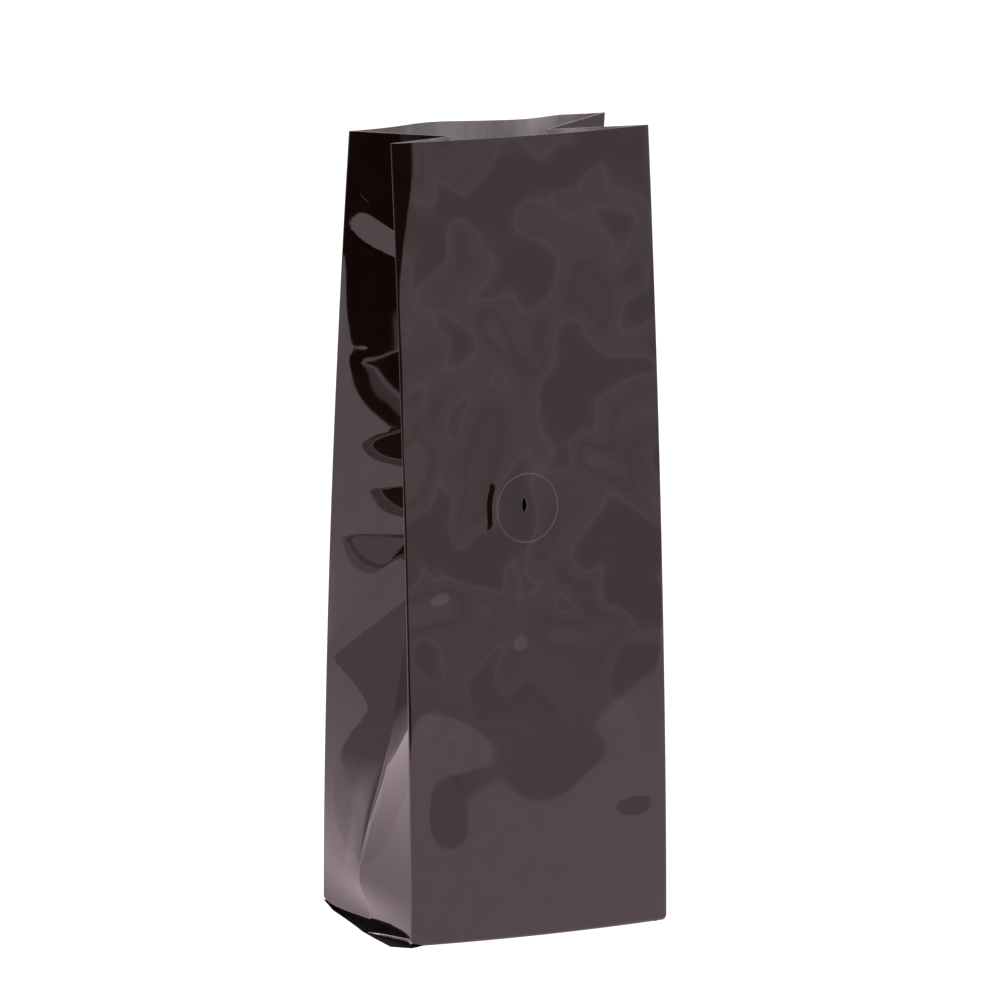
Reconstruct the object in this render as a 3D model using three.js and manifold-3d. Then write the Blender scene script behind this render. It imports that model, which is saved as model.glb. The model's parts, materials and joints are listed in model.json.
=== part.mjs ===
// An empty side gusset bag of glossy barrier film, standing open, with a degassing valve in its front.
// Millimetres, Z up. The front panel faces -Y, and the origin is on the ground under the middle of the bag.
import * as THREE from "three";
import { mergeVertices } from "three/addons/utils/BufferGeometryUtils.js";
import Module from "manifold-3d";

const wasm = await Module();
wasm.setup();

// Overall sizes of the standing bag
const PANEL_WIDTH = 100;
const HEIGHT = 280;
const FILM = 0.4;

// Depth, which narrows from the square foot to the half-closed mouth
const FOOT_HALF_DEPTH = 35;
const MOUTH_HALF_DEPTH = 16.5;
const TAPER_POWER = 1.77;
const MOUTH_LEAN = 3.3;
const LEAN_POWER = 1.9;

// Side gussets, each of two equal halves that fold inwards along a centre crease
const GUSSET_HALF = 35.03;
const CREASE_BULGE = 6.7;
const CREASE_BULGE_START = 2;
const CREASE_BULGE_PEAK = 20;
const CREASE_BULGE_END = 80;
const CREASE_DROP = 1.8;

// Bows of the front panel at foot and mouth, and the waves of the back panel at the mouth
const FRONT_BOW = 3.5;
const BACK_FOOT_BOW = 2;
const BACK_WAVES = [
  { x: -15, width: 15, out: 6.5 },
  { x: 18, width: 9, out: -1.5 },
  { x: 34, width: 8, out: 2.2 },
];
const BACK_WAVE_POWER = 3;

// Folded foot: heights of the fold line, and the way in from it to the closing seam
const FRONT_FOLD_HEIGHT = 2.2;
const BACK_FOLD_HEIGHT = 5;
const SIDE_FOLD_HEIGHT = 4.5;
const SEAM_Y = -2;
const BACK_FLAT_SHARE = 0.714;
const FOLD_SHARES = [0.012, 0.035];
const FLOOR_SHARES = [0.3, BACK_FLAT_SHARE, 1];
const FRONT_FOLD_DROPS = [0.6, 0];
const BACK_FOLD_DROPS = [4.2, 3.6];
const SIDE_FOLD_DROPS = [3.9, 3.5];

// Corner ears of the sealed foot, two layers of film, lying askew towards the left
const EAR_THICKNESS = 0.8;
const EAR_LEFT = { toeX: -50.3, toeY: -36.5, outerX: -55.9, middleX: -53.3 };
const EAR_RIGHT = { toeX: 46, toeY: -35, outerX: 47.4, middleX: 46.8 };
const EAR_HEEL = { x: 44, frontY: -34.2, backY: 31 };
const EAR_INNER = { x: 40, frontY: -24.5, backY: 25.2 };
const EAR_TOE_CUT = 4;
const EAR_LAP = 3;
const BACK_EAR_TIP = { x: 49, y: 33, z: 3.2 };
const BACK_EAR_INNER_HEIGHT = 2.2;

// Valve, a stepped disc welded behind the front panel
const VALVE_X = -1.5;
const VALVE_Z = 150.5;
const VALVE_TURN = THREE.MathUtils.degToRad(6.5);
const VALVE_RADIUS = 11.4;
const VALVE_FLANGE = 1;
const VALVE_CUP_RADIUS = 7.5;
const VALVE_CUP_DEPTH = 3.5;
const VALVE_WELL_RADIUS = 5;
const VALVE_WELL_DEPTH = 2.7;
const VALVE_GAP = 0.3;
const TURN_REACH = 26;

// Raised film over the valve, with its slit
const BOSS_RISE = 0.8;
const BOSS_EDGE = 0.45;
const BOSS_COLLAR = 0.5;
const BOSS_DEPTH = 1.4;
const SLIT_HEIGHT = 4.8;
const SLIT_WIDTH = 1.8;
const SLIT_X = -1.8;
const SLIT_Z = 1;

// Mesh steps around and up the bag
const PANEL_STEPS = 20;
const GUSSET_STEPS = 4;
const WALL_STEPS = 24;
const WALL_STEP_POWER = 1.25;
const ROUND_STEPS = 36;
const OFFSET_DAMPING = 0.005;
const MERGE_DISTANCE = 1e-4;

const smooth = THREE.MathUtils.smoothstep;

function halfDepth(z) {
  const share = Math.max(z, 0) / HEIGHT;
  return FOOT_HALF_DEPTH - (FOOT_HALF_DEPTH - MOUTH_HALF_DEPTH) * share ** TAPER_POWER;
}

function depthCentre(z) {
  return -MOUTH_LEAN * (Math.max(z, 0) / HEIGHT) ** LEAN_POWER;
}

// How far the gusset crease lies inside the panel's edge: a flat half reaches from corner to crease.
function creaseInset(z) {
  const folded = Math.sqrt(GUSSET_HALF ** 2 - halfDepth(z) ** 2);
  const rise = smooth(z, CREASE_BULGE_START, CREASE_BULGE_PEAK);
  const fall = 1 - smooth(z, CREASE_BULGE_PEAK, CREASE_BULGE_END);
  return folded - CREASE_BULGE * rise * fall;
}

function frontBow(across, z) {
  return FRONT_BOW * (1 - across ** 2) * ((2 * z) / HEIGHT - 1) ** 2;
}

function backBow(across, x, z) {
  let waves = 0;
  for (const wave of BACK_WAVES) {
    waves += wave.out * Math.exp(-(((x - wave.x) / wave.width) ** 2));
  }
  const span = 1 - across ** 8;
  const foot = BACK_FOOT_BOW * (1 - across ** 2) * (1 - z / HEIGHT) ** 2;
  return waves * span * (z / HEIGHT) ** BACK_WAVE_POWER + foot;
}

// The film around the valve follows its disc, whose left edge stands out.
function valveTurn(x, z) {
  const reach = Math.hypot(x - VALVE_X, z - VALVE_Z);
  return Math.tan(VALVE_TURN) * (x - VALVE_X) * (1 - smooth(reach, VALVE_RADIUS, TURN_REACH));
}

// Height between a corner and the gusset's middle, which it nears soon after the corner.
function sideHeight(cornerHeight, middleHeight, depth) {
  return cornerHeight + (middleHeight - cornerHeight) * (1 - Math.abs(depth) ** 3);
}

function foldLineHeight(depth) {
  return sideHeight(depth < 0 ? FRONT_FOLD_HEIGHT : BACK_FOLD_HEIGHT, SIDE_FOLD_HEIGHT, depth);
}

// Stations go once around: across is -1 to 1 over the width, depth -1 at the front to 1 at the back.
function makeStations() {
  const stations = [];
  for (let i = 0; i < PANEL_STEPS; i += 1) {
    stations.push({ across: (2 * i) / PANEL_STEPS - 1, depth: -1 });
  }
  for (let i = 0; i < 2 * GUSSET_STEPS; i += 1) {
    stations.push({ across: 1, depth: i / GUSSET_STEPS - 1 });
  }
  for (let i = 0; i < PANEL_STEPS; i += 1) {
    stations.push({ across: 1 - (2 * i) / PANEL_STEPS, depth: 1 });
  }
  for (let i = 0; i < 2 * GUSSET_STEPS; i += 1) {
    stations.push({ across: -1, depth: 1 - i / GUSSET_STEPS });
  }
  return stations;
}

// A point of the walls, at a share of the height above the fold line.
function wallPoint({ across, depth }, share) {
  const crease = 1 - Math.abs(depth);
  const foot = foldLineHeight(depth);
  const z = foot + (HEIGHT - foot) * share - CREASE_DROP * crease * share ** 2;
  const x = across * (PANEL_WIDTH / 2 - crease * creaseInset(z));
  let y = depthCentre(z) + depth * halfDepth(z);
  if (depth === -1) {
    y += valveTurn(x, z) - frontBow(across, z);
  }
  if (depth === 1) {
    y += backBow(across, x, z);
  }
  return new THREE.Vector3(x, y, z);
}

// A point of the foot, at a share of the way in from the fold line to the closing seam.
function footPoint({ across, depth }, step) {
  const share = [...FOLD_SHARES, ...FLOOR_SHARES][step];
  const crease = 1 - Math.abs(depth);
  const inward = FOOT_HALF_DEPTH * share;
  const inset = crease * creaseInset(SIDE_FOLD_HEIGHT) * (1 - share);
  const x = across * (PANEL_WIDTH / 2 - inward - inset);
  const bow = (depth < 0 ? FRONT_BOW : BACK_FOOT_BOW) * (1 - across ** 2) * (1 - share) ** 2;
  const y = depth * (FOOT_HALF_DEPTH - inward + bow) + SEAM_Y * share;
  const onFold = step < FOLD_SHARES.length;
  const slope = Math.max(BACK_FLAT_SHARE - share, 0) / (BACK_FLAT_SHARE - FOLD_SHARES[1]);
  const front = onFold ? FRONT_FOLD_DROPS[step] : 0;
  const back = onFold ? BACK_FOLD_DROPS[step] : BACK_FOLD_DROPS[1] * slope;
  const side = onFold ? SIDE_FOLD_DROPS[step] : SIDE_FOLD_DROPS[1] * (1 - share);
  const z = sideHeight(depth < 0 ? front : back, side, depth);
  return new THREE.Vector3(x, y, z);
}

// Rings of the outer skin from the closing seam, out under the foot and up to the mouth
function skinRings(stations) {
  const rings = [];
  const footSteps = FOLD_SHARES.length + FLOOR_SHARES.length;
  for (let step = footSteps - 1; step >= 0; step -= 1) {
    rings.push(stations.map((station) => footPoint(station, step)));
  }
  for (let i = 0; i <= WALL_STEPS; i += 1) {
    const share = (i / WALL_STEPS) ** WALL_STEP_POWER;
    rings.push(stations.map((station) => wallPoint(station, share)));
  }
  return rings;
}

// Shared points and the triangles between rings. Points that meet at the seam become one.
function joinRings(rings) {
  const points = [];
  const places = new Map();
  const indexOf = (point) => {
    const key = point.toArray().map((value) => Math.round(value / MERGE_DISTANCE)).join();
    if (!places.has(key)) {
      places.set(key, points.length);
      points.push(point);
    }
    return places.get(key);
  };
  const indices = rings.map((ring) => ring.map(indexOf));
  const faces = [];
  for (let k = 0; k + 1 < rings.length; k += 1) {
    const low = indices[k];
    const high = indices[k + 1];
    low.forEach((start, i) => {
      const next = (i + 1) % low.length;
      faces.push([start, low[next], high[next]], [start, high[next], high[i]]);
    });
  }
  const mouth = indices[indices.length - 1];
  return { points, mouth, faces: faces.filter(([a, b, c]) => a !== b && b !== c && c !== a) };
}

// Moves each point inwards so that every face around it moves by the film's thickness, as nearly as it can.
function innerPoints(points, faces) {
  const normals = points.map(() => []);
  for (const face of faces) {
    const corners = face.map((index) => points[index]);
    const normal = new THREE.Triangle(...corners).getNormal(new THREE.Vector3());
    face.forEach((index) => normals[index].push(normal));
  }
  return points.map((point, index) => {
    const push = new THREE.Vector3();
    const sums = new THREE.Matrix3().identity().multiplyScalar(OFFSET_DAMPING).elements;
    for (const normal of normals[index]) {
      const parts = normal.toArray();
      parts.forEach((row, i) => parts.forEach((column, j) => {
        sums[3 * i + j] += row * column;
      }));
      push.addScaledVector(normal, -FILM);
    }
    return push.applyMatrix3(new THREE.Matrix3().fromArray(sums).invert()).add(point);
  });
}

function toGeometry(points, faces) {
  const geometry = new THREE.BufferGeometry();
  geometry.setAttribute("position", new THREE.Float32BufferAttribute(points.flatMap((p) => p.toArray()), 3));
  geometry.setIndex(faces.flat());
  return geometry;
}

// The film as a closed shell: outer skin, inner skin and the cut edge around the mouth
function makeShell() {
  const skin = joinRings(skinRings(makeStations()));
  const inner = innerPoints(skin.points, skin.faces);
  const shift = skin.points.length;
  const faces = [...skin.faces];
  for (const [a, b, c] of skin.faces) {
    faces.push([a + shift, c + shift, b + shift]);
  }
  skin.mouth.forEach((start, i) => {
    const next = skin.mouth[(i + 1) % skin.mouth.length];
    faces.push([start, next, next + shift], [start, next + shift, start + shift]);
  });
  return toGeometry([...skin.points, ...inner], faces);
}

// A flat ear between corners given in order, each with its height above the ground
function makeEar(corners) {
  const count = corners.length;
  const top = corners.map((corner) => corner.clone().setZ(corner.z + EAR_THICKNESS));
  const flat = corners.map((corner) => new THREE.Vector2(corner.x, corner.y));
  const faces = [];
  for (const [a, b, c] of THREE.ShapeUtils.triangulateShape(flat, [])) {
    faces.push([a, c, b], [a + count, b + count, c + count]);
  }
  for (let i = 0; i < count; i += 1) {
    const next = (i + 1) % count;
    faces.push([i, next, next + count], [i, next + count, i + count]);
  }
  return toGeometry([...corners, ...top], faces);
}

// Each corner of the foot has an ear that joins the floor along the end of the corner's fold.
function makeEars() {
  const point = (x, y, z = 0) => new THREE.Vector3(x, y, z);
  const ears = [];
  for (const [side, ear] of [[-1, EAR_LEFT], [1, EAR_RIGHT]]) {
    const frontEar = [
      point(side * EAR_HEEL.x, EAR_HEEL.frontY),
      point(ear.toeX, ear.toeY),
      point(ear.outerX, EAR_TOE_CUT - FOOT_HALF_DEPTH),
      point(ear.middleX, SEAM_Y),
      point(ear.middleX, SEAM_Y + EAR_LAP),
      point(side * EAR_INNER.x, SEAM_Y + EAR_LAP),
      point(side * EAR_INNER.x, EAR_INNER.frontY),
    ];
    const backEar = [
      point(ear.middleX, SEAM_Y - EAR_LAP),
      point(side * BACK_EAR_TIP.x, BACK_EAR_TIP.y, BACK_EAR_TIP.z),
      point(side * EAR_HEEL.x, EAR_HEEL.backY, BACK_EAR_TIP.z),
      point(side * EAR_INNER.x, EAR_INNER.backY, BACK_EAR_INNER_HEIGHT),
      point(side * EAR_INNER.x, SEAM_Y - EAR_LAP),
    ];
    for (const corners of [frontEar, backEar]) {
      const flat = corners.map((corner) => new THREE.Vector2(corner.x, corner.y));
      ears.push(makeEar(THREE.ShapeUtils.isClockWise(flat) ? corners.reverse() : corners));
    }
  }
  return ears;
}

// The place of the valve, whose +Y end points out through the front panel
function makeValvePlace() {
  const across = (2 * VALVE_X) / PANEL_WIDTH;
  const place = new THREE.Group();
  place.position.set(VALVE_X, depthCentre(VALVE_Z) - halfDepth(VALVE_Z) - frontBow(across, VALVE_Z), VALVE_Z);
  place.rotation.z = Math.PI + VALVE_TURN;
  place.updateMatrix();
  return place;
}

function turned(profile) {
  return new THREE.LatheGeometry(profile.map((point) => new THREE.Vector2(...point)), ROUND_STEPS);
}

function makeBoss() {
  const pocket = VALVE_RADIUS + VALVE_GAP;
  const radius = pocket + BOSS_COLLAR;
  return turned([
    [0, -BOSS_DEPTH],
    [radius, -BOSS_DEPTH],
    [radius, BOSS_RISE - BOSS_EDGE],
    [radius - BOSS_EDGE, BOSS_RISE],
    [0, BOSS_RISE],
  ]);
}

function makePocket() {
  const pocket = VALVE_RADIUS + VALVE_GAP;
  const deep = -BOSS_DEPTH - VALVE_CUP_DEPTH;
  return turned([[0, deep], [pocket, deep], [pocket, BOSS_RISE - FILM], [0, BOSS_RISE - FILM]]);
}

// A lens-shaped slit, upright, through the film over the valve only
function makeSlit() {
  const half = SLIT_HEIGHT / 2;
  const shape = new THREE.Shape();
  shape.moveTo(0, -half);
  shape.quadraticCurveTo(SLIT_WIDTH, 0, 0, half);
  shape.quadraticCurveTo(-SLIT_WIDTH, 0, 0, -half);
  const slit = new THREE.ExtrudeGeometry(shape, { depth: 2 * FILM, bevelEnabled: false, curveSegments: 8 });
  slit.rotateX(-Math.PI / 2);
  slit.translate(-SLIT_X, BOSS_RISE - 1.5 * FILM, SLIT_Z);
  return slit;
}

function makeValve() {
  const top = BOSS_RISE - FILM - VALVE_GAP;
  const cup = top - VALVE_FLANGE - VALVE_CUP_DEPTH;
  const well = top - VALVE_WELL_DEPTH;
  return turned([
    [0, cup],
    [VALVE_CUP_RADIUS, cup],
    [VALVE_CUP_RADIUS, top - VALVE_FLANGE],
    [VALVE_RADIUS, top - VALVE_FLANGE],
    [VALVE_RADIUS, top],
    [VALVE_WELL_RADIUS, top],
    [VALVE_WELL_RADIUS, well],
    [0, well],
  ]);
}

// Joins and cuts work on positions only.
function toSolid(geometry) {
  const bare = new THREE.BufferGeometry();
  bare.setAttribute("position", geometry.getAttribute("position"));
  bare.setIndex(geometry.getIndex());
  const merged = mergeVertices(bare, MERGE_DISTANCE);
  return new wasm.Manifold(new wasm.Mesh({
    numProp: 3,
    vertProperties: new Float32Array(merged.getAttribute("position").array),
    triVerts: new Uint32Array(merged.getIndex().array),
  }));
}

function fromSolid(solid) {
  const { vertProperties, triVerts } = solid.getMesh();
  const geometry = new THREE.BufferGeometry();
  geometry.setAttribute("position", new THREE.Float32BufferAttribute(vertProperties, 3));
  geometry.setIndex(new THREE.Uint32BufferAttribute(triVerts, 1));
  return geometry.toNonIndexed();
}

function makeMesh(name, geometry, look) {
  geometry.computeVertexNormals();
  const mesh = new THREE.Mesh(geometry, new THREE.MeshStandardMaterial(look));
  mesh.name = name;
  return mesh;
}

// The bag: shell and ears are one film, with a raised place, a pocket and a slit for the valve
const valvePlace = makeValvePlace();
let film = toSolid(makeShell());
for (const ear of makeEars()) {
  film = film.add(toSolid(ear));
}
film = film.add(toSolid(makeBoss().applyMatrix4(valvePlace.matrix)));
film = film.subtract(toSolid(makePocket().applyMatrix4(valvePlace.matrix)));
film = film.subtract(toSolid(makeSlit().applyMatrix4(valvePlace.matrix)));

const bag = new THREE.Group();
bag.name = "side_gusset_bag";
bag.add(makeMesh("bag_film", fromSolid(film), { color: 0x3a3032, roughness: 0.16, metalness: 0 }));
valvePlace.add(makeMesh("valve", makeValve(), { color: 0x17130f, roughness: 0.45, metalness: 0 }));
bag.add(valvePlace);

export default bag;
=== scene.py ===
"""An empty side gusset bag of glossy barrier film, standing open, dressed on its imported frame.

The film is one flat web that is folded round into a tube, lapped at the back and tucked in under the foot.
Sizes in the classes are millimetres. The studio's sizes and all meshes are in metres.
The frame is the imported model's: Z up, front towards -Y.
"""

import json
import logging
import math
from dataclasses import dataclass, field
from enum import Enum
from typing import Any

import bpy
import numpy as np
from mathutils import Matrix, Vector

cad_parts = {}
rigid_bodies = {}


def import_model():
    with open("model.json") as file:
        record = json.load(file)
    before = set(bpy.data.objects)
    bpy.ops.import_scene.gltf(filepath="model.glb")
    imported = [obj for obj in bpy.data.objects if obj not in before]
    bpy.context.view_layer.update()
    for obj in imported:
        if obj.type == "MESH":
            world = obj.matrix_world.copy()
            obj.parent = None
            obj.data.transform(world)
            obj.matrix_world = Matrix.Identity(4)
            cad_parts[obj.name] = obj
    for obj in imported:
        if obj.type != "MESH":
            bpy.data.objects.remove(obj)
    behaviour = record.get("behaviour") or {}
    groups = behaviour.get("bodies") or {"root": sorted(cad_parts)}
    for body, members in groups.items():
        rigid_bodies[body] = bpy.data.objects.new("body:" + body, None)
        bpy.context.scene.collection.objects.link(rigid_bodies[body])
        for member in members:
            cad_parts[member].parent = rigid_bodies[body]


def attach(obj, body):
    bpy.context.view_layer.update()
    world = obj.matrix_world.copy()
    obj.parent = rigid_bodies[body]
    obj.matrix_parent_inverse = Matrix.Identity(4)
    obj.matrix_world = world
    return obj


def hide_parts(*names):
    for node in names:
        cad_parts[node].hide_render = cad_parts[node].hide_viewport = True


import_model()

LOG = logging.getLogger("side_gusset_bag")
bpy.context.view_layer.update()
MM = 0.001
BODY = "root"
# Name of the mesh attribute that marks the painted highlight, a thin light line along the folds and the
# valve's rim
PAINTED_HIGHLIGHT = "worn"
SHARP_ANGLE = math.radians(35)
STEP_PROBES = 20001

Array = np.ndarray
Piece = bpy.types.Object
Material = bpy.types.Material
Tree = bpy.types.NodeTree
Socket = bpy.types.NodeSocket
Colour = tuple[float, float, float, float]
Corner = tuple[float, float, float]
Range = tuple[float, float]


class FilmSide(Enum):
    """Material slots of the film, in the order in which the wall's thickness uses them."""

    OUTSIDE = 0
    INSIDE = 1
    CUT_EDGE = 2


class Choice(Enum):
    """Ways to choose parts of a mesh: Blender's select mode, and the parts that are marked in it."""

    POINTS = ("VERT", "vertices")
    PATCH = ("VERT", "polygons")
    FACES = ("FACE", "polygons")


def linear(hex_colour: str) -> Colour:
    """Turn an sRGB colour into a linear one.

    Args:
        hex_colour: Six hex digits, such as "3a3032".

    Returns:
        Linear red, green and blue with full alpha.
    """
    parts = [int(hex_colour[i:i + 2], 16) / 255 for i in (0, 2, 4)]
    red, green, blue = [c / 12.92 if c <= 0.04045 else ((c + 0.055) / 1.055) ** 2.4 for c in parts]
    return (red, green, blue, 1.0)


def smooth(low: float, high: float, value: Array) -> Array:
    """Ease from 0 at low to 1 at high."""
    t = np.clip((value - low) / (high - low), 0.0, 1.0)
    return t * t * (3 - 2 * t)


def add_node(tree: Tree, kind: str, links: dict[str, Any] | None = None, **settings: Any) -> bpy.types.Node:
    """Add a node with its settings, socket values and links.

    Args:
        tree: The node tree that takes the node.
        kind: The node's Blender type name.
        links: Input socket names or numbers, each with a value or an output socket to link from.
        **settings: Attributes of the node itself.

    Returns:
        The new node.
    """
    node = tree.nodes.new(kind)
    for name, value in settings.items():
        setattr(node, name, value)
    for name, value in (links or {}).items():
        socket = node.inputs[int(name)] if name.isdigit() else node.inputs[name]
        if isinstance(value, Socket):
            tree.links.new(value, socket)
        else:
            socket.default_value = value
    return node


def object_place(tree: Tree) -> Socket:
    """Places in the piece's own space."""
    return add_node(tree, "ShaderNodeTexCoord").outputs["Object"]


def noise(tree: Tree, place: Socket, size_mm: float, **inputs: float) -> Socket:
    """Noise with spots of a usual size, read at a place."""
    links = {"Vector": place, "Scale": 1 / (size_mm * MM), **inputs}
    return add_node(tree, "ShaderNodeTexNoise", links).outputs["Fac"]


def blend(tree: Tree, share: Socket, first: Colour | Socket, second: Colour | Socket) -> Socket:
    """Two colours mixed, by the second one's share."""
    links = {"Factor": share, "6": first, "7": second}
    return add_node(tree, "ShaderNodeMix", links, data_type="RGBA").outputs[2]


def rescale(tree: Tree, value: Socket, start: Range, end: Range = (0.0, 1.0)) -> Socket:
    """A value moved evenly from one range to another and held at its ends."""
    links = {"Value": value, "From Min": start[0], "From Max": start[1], "To Min": end[0], "To Max": end[1]}
    return add_node(tree, "ShaderNodeMapRange", links).outputs["Result"]


def calculate(tree: Tree, operation: str, *values: float | Socket) -> Socket:
    """One number worked out from others."""
    links = {str(place): value for place, value in enumerate(values)}
    return add_node(tree, "ShaderNodeMath", links, operation=operation).outputs[0]


def separate(tree: Tree, vector: Socket, axis: str) -> Socket:
    """One coordinate of a vector."""
    return add_node(tree, "ShaderNodeSeparateXYZ", {"Vector": vector}).outputs[axis]


def surface(tree: Tree, inputs: dict[str, Any]) -> None:
    """Add a surface's shader with its inputs, and its output."""
    shader = add_node(tree, "ShaderNodeBsdfPrincipled", inputs)
    add_node(tree, "ShaderNodeOutputMaterial", {"Surface": shader.outputs["BSDF"]})


def set_stops(ramp: bpy.types.ColorRamp, stops: list[tuple[float, Colour]]) -> None:
    """Give a colour ramp its places and colours.

    Args:
        ramp: The ramp, with its first two stops.
        stops: Place and colour of each stop, in order.
    """
    first, *middle, last = stops
    for element, (place, colour) in zip(ramp.elements, (first, last)):
        element.position, element.color = place, colour
    for place, colour in middle:
        ramp.elements.new(place).color = colour


def new_material(name: str) -> tuple[Material, Tree]:
    """Make an empty node material.

    Args:
        name: The finish's name.

    Returns:
        The material and its node tree.
    """
    material = bpy.data.materials.new(name)
    material.use_nodes = True
    material.node_tree.nodes.clear()
    return material, material.node_tree


def select_only(piece: Piece) -> None:
    """Deselect everything and make one piece selected and active.

    Args:
        piece: The piece to select.
    """
    for other in bpy.context.view_layer.objects:
        other.select_set(False)
    piece.select_set(True)
    bpy.context.view_layer.objects.active = piece


def edit_chosen(piece: Piece, choice: Choice, chosen: Array) -> None:
    """Go into edit mode with only some parts of a piece's mesh selected.

    Args:
        piece: The piece to edit.
        choice: Which parts are chosen from.
        chosen: Whether each of those parts is selected.
    """
    mode, parts = choice.value
    select_only(piece)
    bpy.ops.object.mode_set(mode="EDIT")
    bpy.ops.mesh.select_mode(type=mode)
    bpy.ops.mesh.select_all(action="DESELECT")
    bpy.ops.object.mode_set(mode="OBJECT")
    getattr(piece.data, parts).foreach_set("select", chosen)
    bpy.ops.object.mode_set(mode="EDIT")


def apply_modifier(piece: Piece, name: str, kind: str, **settings: Any) -> None:
    """Add a modifier to a piece and apply it.

    Args:
        piece: The piece to change.
        name: The modifier's name.
        kind: The modifier's Blender type name.
        **settings: Attributes of the modifier.
    """
    select_only(piece)
    modifier = piece.modifiers.new(name, kind)
    for key, value in settings.items():
        setattr(modifier, key, value)
    bpy.ops.object.modifier_apply(modifier=modifier.name)


def shade_smooth(piece: Piece) -> None:
    """Shade a piece smoothly, except over its sharp edges."""
    select_only(piece)
    bpy.ops.object.shade_smooth_by_angle(angle=SHARP_ANGLE)


def read_points(piece: Piece) -> Array:
    """Read the points of a piece's mesh.

    Args:
        piece: The piece to read.

    Returns:
        Its points, one row each.
    """
    flat = np.empty(len(piece.data.vertices) * 3)
    piece.data.vertices.foreach_get("co", flat)
    return flat.reshape(-1, 3)


def write_points(piece: Piece, points: Array) -> None:
    """Move the points of a piece's mesh."""
    piece.data.vertices.foreach_set("co", np.ascontiguousarray(points).ravel())
    piece.data.update()


def grid_line(place: Array, count: int) -> Array:
    """Which of a count of grid lines from -1 to 1 each place lies on."""
    return np.rint((place + 1) / 2 * (count - 1)).astype(int)


@dataclass(frozen=True)
class GlossFilm:
    """Printed PET over foil, nearly black and mirror-smooth, so the eye sees mostly what it reflects.

    Along its sharp folds and round the valve's rim, a thin light line is painted into its colour as a
    painted highlight, read from an attribute of the mesh.
    The front panel's gloss has faint swirls above its foot.
    """

    base: str = "0d0a09"
    second: str = "1c110c"
    # Colour of the painted highlight, a light line along the sharp folds and the valve's rim
    worn: str = "7a7674"
    ior: float = 1.62
    roughness: Range = (0.0315, 0.0585)
    haze_mm: float = 9.0
    haze_range: Range = (0.3, 0.7)
    specular: float = 0.5
    swirl_gain: float = 0.2
    swirl_mm: float = 30.0
    swirl_stops: tuple[Range, ...] = (
        (0.3, 0.0), (0.43, 0.06), (0.465, 0.44), (0.48, 1.0),
        (0.5, 0.6), (0.56, 0.5), (0.6, 0.17), (0.7, 0.8))
    swirl_mean: float = 0.4
    swirl_facing: Range = (-0.8, -0.95)
    swirl_foot_mm: Range = (55.0, 110.0)

    def material(self) -> Material:
        """Build the outside of the film.

        Returns:
            The material.
        """
        material, tree = new_material("gloss_film_outside")
        place = object_place(tree)
        haze = noise(tree, place, self.haze_mm, Detail=3.0, Roughness=0.5)
        ink = blend(tree, haze, linear(self.base), linear(self.second))
        # Painted highlight: the light colour is mixed into the ink along the folds and round the valve's rim
        highlight_share = add_node(tree, "ShaderNodeAttribute", attribute_name=PAINTED_HIGHLIGHT).outputs["Fac"]
        surface(tree, {
            "Base Color": blend(tree, highlight_share, ink, linear(self.worn)), "IOR": self.ior,
            "Roughness": rescale(tree, haze, self.haze_range, self.roughness),
            "Specular IOR Level": self.swirled_gloss(tree, place)})
        return material

    def swirled_gloss(self, tree: Tree, place: Socket) -> Socket:
        """Strength of the reflections, with swirls where the film faces the front, above the foot.

        Args:
            tree: The material's node tree.
            place: Places in the film's own space.

        Returns:
            The specular level.
        """
        wisp = noise(tree, place, self.swirl_mm, Detail=1.2, Roughness=0.45, Distortion=0.6)
        lines = add_node(tree, "ShaderNodeValToRGB", {"Fac": wisp})
        set_stops(lines.color_ramp, [(spot, (share, share, share, 1.0)) for spot, share in self.swirl_stops])
        swirl = calculate(tree, "SUBTRACT", lines.outputs["Color"], self.swirl_mean)
        normal = add_node(tree, "ShaderNodeNewGeometry").outputs["Normal"]
        facing = rescale(tree, separate(tree, normal, "Y"), self.swirl_facing)
        low, high = self.swirl_foot_mm
        above = rescale(tree, separate(tree, place, "Z"), (low * MM, high * MM))
        swirl = calculate(tree, "MULTIPLY", calculate(tree, "MULTIPLY", swirl, facing), above)
        return calculate(tree, "MULTIPLY_ADD", swirl, self.swirl_gain, self.specular)


@dataclass(frozen=True)
class SilverLining:
    """Metallised polyethylene, the satin silver inside of the laminate, with fine streaks along the web."""

    base: str = "eaf0ee"
    second: str = "a2a7a5"
    metal: float = 0.66
    roughness: float = 0.3
    stretch: Corner = (1.0, 1.0, 0.08)
    streak_mm: float = 3.0
    streak_share: float = 0.25
    tone_range: Range = (0.35, 0.65)
    crease_mm: float = 20.0
    crease_depth_mm: float = 1.6

    def material(self) -> Material:
        """Build the inside of the film.

        Returns:
            The material.
        """
        material, tree = new_material("silver_lining_inside")
        mapping = add_node(tree, "ShaderNodeMapping", {"Vector": object_place(tree), "Scale": self.stretch})
        along = mapping.outputs["Vector"]
        streak = noise(tree, along, self.streak_mm, Detail=2.0)
        crease = noise(tree, along, self.crease_mm, Detail=1.0)
        both = add_node(tree, "ShaderNodeMix", {
            "Factor": self.streak_share, "2": crease, "3": streak}, data_type="FLOAT")
        share = rescale(tree, both.outputs[0], self.tone_range)
        bump = add_node(tree, "ShaderNodeBump", {
            "Height": crease, "Strength": 1.0, "Distance": self.crease_depth_mm * MM})
        surface(tree, {
            "Base Color": blend(tree, share, linear(self.base), linear(self.second)),
            "Metallic": self.metal, "Roughness": self.roughness, "Normal": bump.outputs["Normal"]})
        return material


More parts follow.
